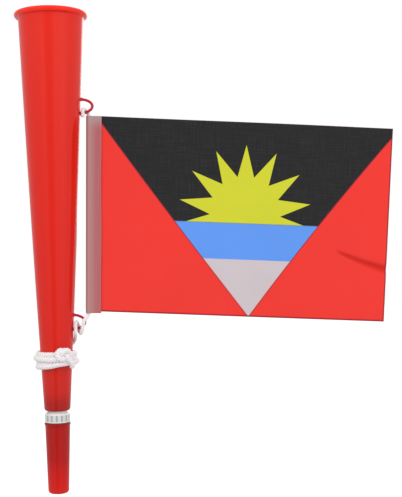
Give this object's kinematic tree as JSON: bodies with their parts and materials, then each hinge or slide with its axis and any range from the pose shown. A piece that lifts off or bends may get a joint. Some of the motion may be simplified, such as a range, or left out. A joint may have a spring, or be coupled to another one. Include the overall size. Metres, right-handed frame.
{
  "type": "party horn with hand flag",
  "caption": "Long plastic cone horn with a rolled rim, a reed in its mouthpiece, and a cloth flag that swings on a cord beside the bell.",
  "frame": {"origin": "centre of the mouth end, on the horn's axis", "axes": "+Z along the horn's axis from the mouth end to the bell, +X towards the flag, +Y towards the flag's back"},
  "size_m": [0.2896, 0.056, 0.366],
  "materials": {
    "mouthpiece_plastic": "glossy red plastic",
    "holder_plastic": "satin white plastic",
    "tongue_film": "thin milky film",
    "clip_plastic": "satin white plastic",
    "bell_plastic": "glossy red plastic",
    "eyelet_plastic": "glossy red plastic",
    "sleeve_tape": "woven tape, sewn",
    "flag_print": "printed plain-weave polyester",
    "cord_braid": "white braided cord"
  },
  "bodies": {
    "mouth_end": {"mouthpiece": "mouthpiece_plastic"},
    "reed_unit": {"reed_holder": "holder_plastic", "reed_clip": "clip_plastic"},
    "tongue": {"reed_tongue": "tongue_film"},
    "horn": {"bell_foot": "bell_plastic", "horn_bell": "bell_plastic", "upper_eyelet": "eyelet_plastic", "lower_eyelet": "eyelet_plastic", "cord": "cord_braid"},
    "flag": {"flag_sleeve": "sleeve_tape", "flag_cloth": "flag_print"}
  },
  "joints": [
    {"name": "reed_unit_pull", "type": "slide", "parent": "mouth_end", "child": "reed_unit", "axis": [0, 0, 1], "range_m": [0, 0.03]},
    {"name": "bell_pull", "type": "slide", "parent": "reed_unit", "child": "horn", "axis": [0, 0, 1], "range_m": [0, 0.025]},
    {"name": "reed_beat", "type": "hinge", "parent": "reed_unit", "child": "tongue", "pos_m": [0, -0.0039, 0.036], "axis": [1, 0, 0], "range_deg": [-1.2, 1.9], "stiffness_Nm_per_rad": 0.014},
    {"name": "flag_swing", "type": "hinge", "parent": "horn", "child": "flag", "pos_m": [0.02507, 0, 0.1363], "axis": [0.0159, 0.0173, 0.9997], "range_deg": [-100, 100]}
  ]
}
